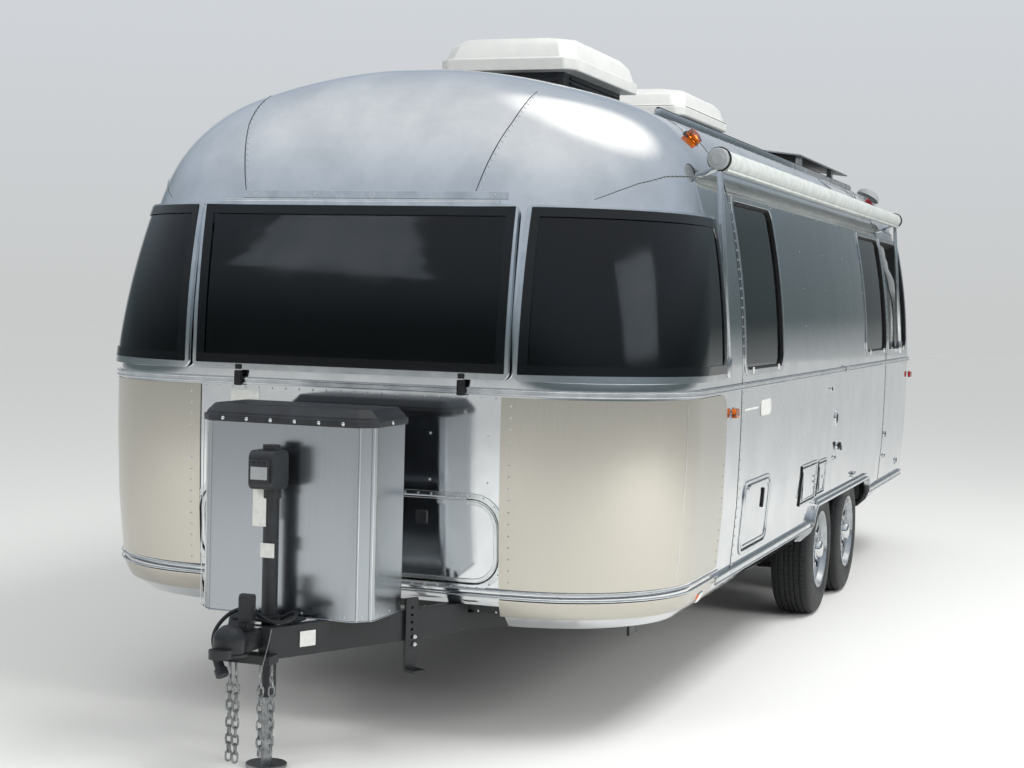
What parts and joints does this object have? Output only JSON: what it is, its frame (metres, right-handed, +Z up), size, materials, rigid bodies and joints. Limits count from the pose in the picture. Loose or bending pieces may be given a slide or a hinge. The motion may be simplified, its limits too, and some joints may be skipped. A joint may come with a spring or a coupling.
{
  "type": "travel caravan",
  "caption": "Tandem-axle travel caravan with a polished, riveted aluminium shell, wrap-round front windows, A-frame drawbar, ball coupler and tongue jack.",
  "frame": {"origin": "on the ground, under the middle of the caravan's bounding box", "axes": "+X forward to the coupler, +Y to the left side, +Z up"},
  "size_m": [8.51, 2.6392, 2.988],
  "materials": {
    "polished_aluminium": "mirror polished sheet",
    "roof_aluminium": "satin sheet",
    "trim_aluminium": "bright anodised extrusion",
    "stainless": "brushed stainless sheet",
    "black_steel": "black chassis paint",
    "black_plastic": "moulded, fine grain",
    "tinted_glass": "dark tint",
    "guard_plastic": "smoked polycarbonate",
    "bright_steel": "zinc plated",
    "tyre": "black rubber",
    "alloy": "machined alloy",
    "floor_board": "belly pan",
    "awning_cloth": "rolled acrylic cloth",
    "shroud_plastic": "moulded shroud",
    "solar_cells": "solar glass",
    "amber_lens": "amber lens",
    "red_lens": "red lens",
    "cable_jacket": "black jacket",
    "upholstery": "woven cover",
    "cabinet_board": "laminate"
  },
  "bodies": {
    "caravan": {"chassis_frame": "black_steel", "coupler": "black_steel", "tongue_jack": "black_steel", "bottle_cover": "stainless", "cover_lid": "black_plastic", "floor_pan": "floor_board", "wall_left": "polished_aluminium", "wall_right": "polished_aluminium", "front_wall": "polished_aluminium", "front_cap": "polished_aluminium", "rear_wall": "polished_aluminium", "rear_cap": "polished_aluminium", "roof_panel": "roof_aluminium", "end_glass": "tinted_glass", "side_glass": "tinted_glass", "corner_guards": "guard_plastic", "belt_trim": "trim_aluminium", "foot_trim": "trim_aluminium", "corner_shields": "stainless", "awnings": "awning_cloth", "roof_unit_front": "shroud_plastic", "roof_unit_rear": "shroud_plastic", "solar_panel": "solar_cells", "roof_vents": "shroud_plastic", "axles": "black_steel", "rear_bumper": "black_plastic", "plate_carrier": "black_plastic", "lamps_amber": "amber_lens", "lamps_red": "red_lens", "hitch_brackets": "black_steel", "safety_chains": "bright_steel", "plug_cable": "cable_jacket", "breakaway_wire": "bright_steel", "cable_plug": "black_plastic", "entry_step": "black_steel", "front_bed": "upholstery", "galley_cabinet": "cabinet_board", "rear_lounge": "upholstery"},
    "jack_foot": {"jack_leg": "bright_steel"},
    "stone_guard": {"front_guard": "guard_plastic"},
    "hatch_front": {"front_hatch": "polished_aluminium"},
    "hatch_side": {"side_hatch": "polished_aluminium"},
    "service_front": {"service_door_front": "polished_aluminium"},
    "service_rear": {"service_door_rear": "polished_aluminium"},
    "door": {"entry_door": "polished_aluminium", "door_glass": "tinted_glass"},
    "road_wheel_front_left": {"tyre_front_left": "tyre", "wheel_front_left": "alloy"},
    "stand_front_left": {"stabiliser_front_left": "black_steel"},
    "road_wheel_front_right": {"tyre_front_right": "tyre", "wheel_front_right": "alloy"},
    "stand_front_right": {"stabiliser_front_right": "black_steel"},
    "road_wheel_rear_left": {"tyre_rear_left": "tyre", "wheel_rear_left": "alloy"},
    "stand_rear_left": {"stabiliser_rear_left": "black_steel"},
    "road_wheel_rear_right": {"tyre_rear_right": "tyre", "wheel_rear_right": "alloy"},
    "stand_rear_right": {"stabiliser_rear_right": "black_steel"}
  },
  "joints": [
    {"name": "jack_lift", "type": "slide", "parent": "caravan", "child": "jack_foot", "axis": [0, 0, 1], "range_m": [0, 0.17]},
    {"name": "guard_hinge", "type": "hinge", "parent": "caravan", "child": "stone_guard", "pos_m": [3.17507, 0, 2.098], "axis": [0, -1, 0], "range_deg": [0, 75]},
    {"name": "front_hatch_hinge", "type": "hinge", "parent": "caravan", "child": "hatch_front", "pos_m": [3.242, 0, 0.953], "axis": [0, -1, 0], "range_deg": [0, 35]},
    {"name": "side_hatch_hinge", "type": "hinge", "parent": "caravan", "child": "hatch_side", "pos_m": [1.51, 1.294, 0.915], "axis": [1, 0, 0], "range_deg": [0, 95]},
    {"name": "service_front_hinge", "type": "hinge", "parent": "caravan", "child": "service_front", "pos_m": [0.403, 1.292, 0.795], "axis": [0, 0, -1], "range_deg": [0, 110]},
    {"name": "service_rear_hinge", "type": "hinge", "parent": "caravan", "child": "service_rear", "pos_m": [-0.067, 1.292, 0.795], "axis": [0, 0, -1], "range_deg": [0, 110]},
    {"name": "door_hinge", "type": "hinge", "parent": "caravan", "child": "door", "pos_m": [1.03, -1.303, 1.4], "axis": [0, 0, 1], "range_deg": [0, 165]},
    {"name": "spin_front_left", "type": "hinge", "parent": "caravan", "child": "road_wheel_front_left", "pos_m": [-0.412, 1.14, 0.365], "axis": [0, 1, 0], "continuous": true},
    {"name": "spin_front_right", "type": "hinge", "parent": "caravan", "child": "road_wheel_front_right", "pos_m": [-0.412, -1.14, 0.365], "axis": [0, 1, 0], "continuous": true},
    {"name": "spin_rear_left", "type": "hinge", "parent": "caravan", "child": "road_wheel_rear_left", "pos_m": [-1.312, 1.14, 0.365], "axis": [0, 1, 0], "continuous": true},
    {"name": "spin_rear_right", "type": "hinge", "parent": "caravan", "child": "road_wheel_rear_right", "pos_m": [-1.312, -1.14, 0.365], "axis": [0, 1, 0], "continuous": true},
    {"name": "stand_front_left_swing", "type": "hinge", "parent": "caravan", "child": "stand_front_left", "pos_m": [2.35, 0.61, 0.37], "axis": [-1, 0, 0], "range_deg": [0, 68]},
    {"name": "stand_front_right_swing", "type": "hinge", "parent": "caravan", "child": "stand_front_right", "pos_m": [2.35, -0.61, 0.37], "axis": [1, 0, 0], "range_deg": [0, 68]},
    {"name": "stand_rear_left_swing", "type": "hinge", "parent": "caravan", "child": "stand_rear_left", "pos_m": [-3.45, 0.61, 0.37], "axis": [-1, 0, 0], "range_deg": [0, 68]},
    {"name": "stand_rear_right_swing", "type": "hinge", "parent": "caravan", "child": "stand_rear_right", "pos_m": [-3.45, -0.61, 0.37], "axis": [1, 0, 0], "range_deg": [0, 68]}
  ]
}
